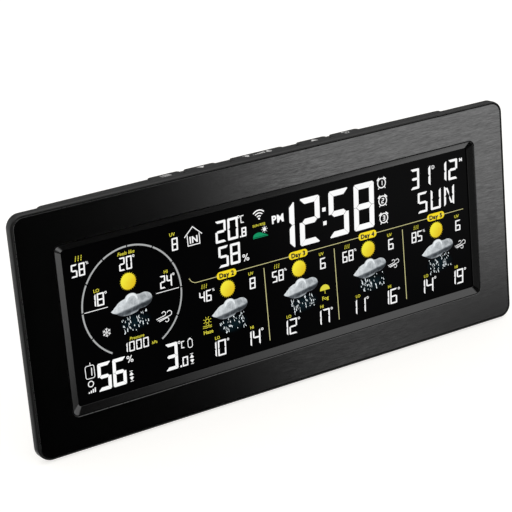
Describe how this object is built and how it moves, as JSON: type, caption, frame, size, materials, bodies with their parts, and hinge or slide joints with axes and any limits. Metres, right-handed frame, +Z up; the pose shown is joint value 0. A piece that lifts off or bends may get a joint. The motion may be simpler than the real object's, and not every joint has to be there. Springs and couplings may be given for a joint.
{
  "type": "home weather station",
  "caption": "Wide tabletop weather console with a brushed front plate, recessed colour display, keys along its top and a fold-out stand behind.",
  "frame": {"origin": "centre of the overall box, on the table under the console, with the stand open", "axes": "+Z up, +X along the console's width to the right as seen from the front, +Y towards the back"},
  "size_m": [0.28, 0.0568, 0.1166],
  "materials": {
    "frame_plastic": "fine satin texture",
    "brushed_black": "dark brushed",
    "bezel_plastic": "polished",
    "display_black": "polished",
    "clear_film": "smooth",
    "white_plastic": "satin",
    "circuit_board": "solder mask",
    "chip_black": "moulded",
    "metal": "plated",
    "ribbon_foil": "smooth",
    "rubber": "matte",
    "key_plastic": "satin"
  },
  "bodies": {
    "console": {"front_frame": "frame_plastic", "face_plate": "brushed_black", "display_bezel": "bezel_plastic", "front_polariser": "display_black", "lcd_front_glass": "display_black", "lcd_rear_glass": "display_black", "rear_polariser": "clear_film", "colour_film": "clear_film", "diffuser_sheet": "white_plastic", "light_guide": "clear_film", "reflector_sheet": "metal", "display_carrier": "white_plastic", "led_strip": "white_plastic", "flex_cable_left": "ribbon_foil", "flex_cable_right": "ribbon_foil", "main_board": "circuit_board", "processor_chip": "chip_black", "wifi_board": "circuit_board", "wifi_shield": "metal", "receiver_board": "circuit_board", "receiver_antenna": "metal", "crystal_can": "metal", "climate_sensor": "white_plastic", "buzzer": "chip_black", "dc_jack": "chip_black", "cell_holder": "chip_black", "coin_cell": "metal", "cell_clip": "metal", "key_board": "circuit_board", "sensor_switch": "chip_black", "reset_switch": "chip_black", "dimmer_switch": "metal", "rear_case": "frame_plastic", "stand_pin": "metal", "front_foot_left": "rubber", "front_foot_right": "rubber", "key_switch_1": "chip_black", "key_switch_2": "chip_black", "key_switch_3": "chip_black", "key_switch_4": "chip_black", "key_switch_5": "chip_black", "case_screw_1": "metal", "case_screw_2": "metal", "case_screw_3": "metal", "case_screw_4": "metal", "case_screw_5": "metal", "case_screw_6": "metal"},
    "menu_key": {"menu_key": "key_plastic"},
    "down_key": {"down_key": "key_plastic"},
    "light_key": {"light_key": "key_plastic"},
    "up_key": {"up_key": "key_plastic"},
    "history_key": {"history_key": "key_plastic"},
    "stand": {"table_stand": "frame_plastic", "stand_pad_left": "rubber", "stand_pad_right": "rubber"},
    "battery_door": {"battery_door": "frame_plastic"},
    "sensor_button": {"sensor_button": "white_plastic"},
    "reset_button": {"reset_button": "white_plastic"},
    "dimmer": {"dimmer_knob": "white_plastic"}
  },
  "joints": [
    {"name": "menu_key_press", "type": "slide", "parent": "console", "child": "menu_key", "axis": [0, -0.1513, -0.9885], "range_m": [0, 0.0008], "stiffness_N_per_m": 2500},
    {"name": "down_key_press", "type": "slide", "parent": "console", "child": "down_key", "axis": [0, -0.1513, -0.9885], "range_m": [0, 0.0008], "stiffness_N_per_m": 2500},
    {"name": "light_key_press", "type": "slide", "parent": "console", "child": "light_key", "axis": [0, -0.1513, -0.9885], "range_m": [0, 0.0008], "stiffness_N_per_m": 2500},
    {"name": "up_key_press", "type": "slide", "parent": "console", "child": "up_key", "axis": [0, -0.1513, -0.9885], "range_m": [0, 0.0008], "stiffness_N_per_m": 2500},
    {"name": "history_key_press", "type": "slide", "parent": "console", "child": "history_key", "axis": [0, -0.1513, -0.9885], "range_m": [0, 0.0008], "stiffness_N_per_m": 2500},
    {"name": "sensor_button_press", "type": "slide", "parent": "console", "child": "sensor_button", "axis": [0, -0.9885, 0.1513], "range_m": [0, 0.0008], "stiffness_N_per_m": 2500},
    {"name": "reset_button_press", "type": "slide", "parent": "console", "child": "reset_button", "axis": [0, -0.9885, 0.1513], "range_m": [0, 0.0008], "stiffness_N_per_m": 2500},
    {"name": "dimmer_slide", "type": "slide", "parent": "console", "child": "dimmer", "axis": [1, 0, 0], "range_m": [-0.002, 0.002]},
    {"name": "battery_door_slide", "type": "slide", "parent": "console", "child": "battery_door", "axis": [-1, 0, 0], "range_m": [0, 0.03]},
    {"name": "stand_hinge", "type": "hinge", "parent": "console", "child": "stand", "pos_m": [0, -0.00858, 0.00349], "axis": [1, 0, 0], "range_deg": [0, 81.3]}
  ]
}
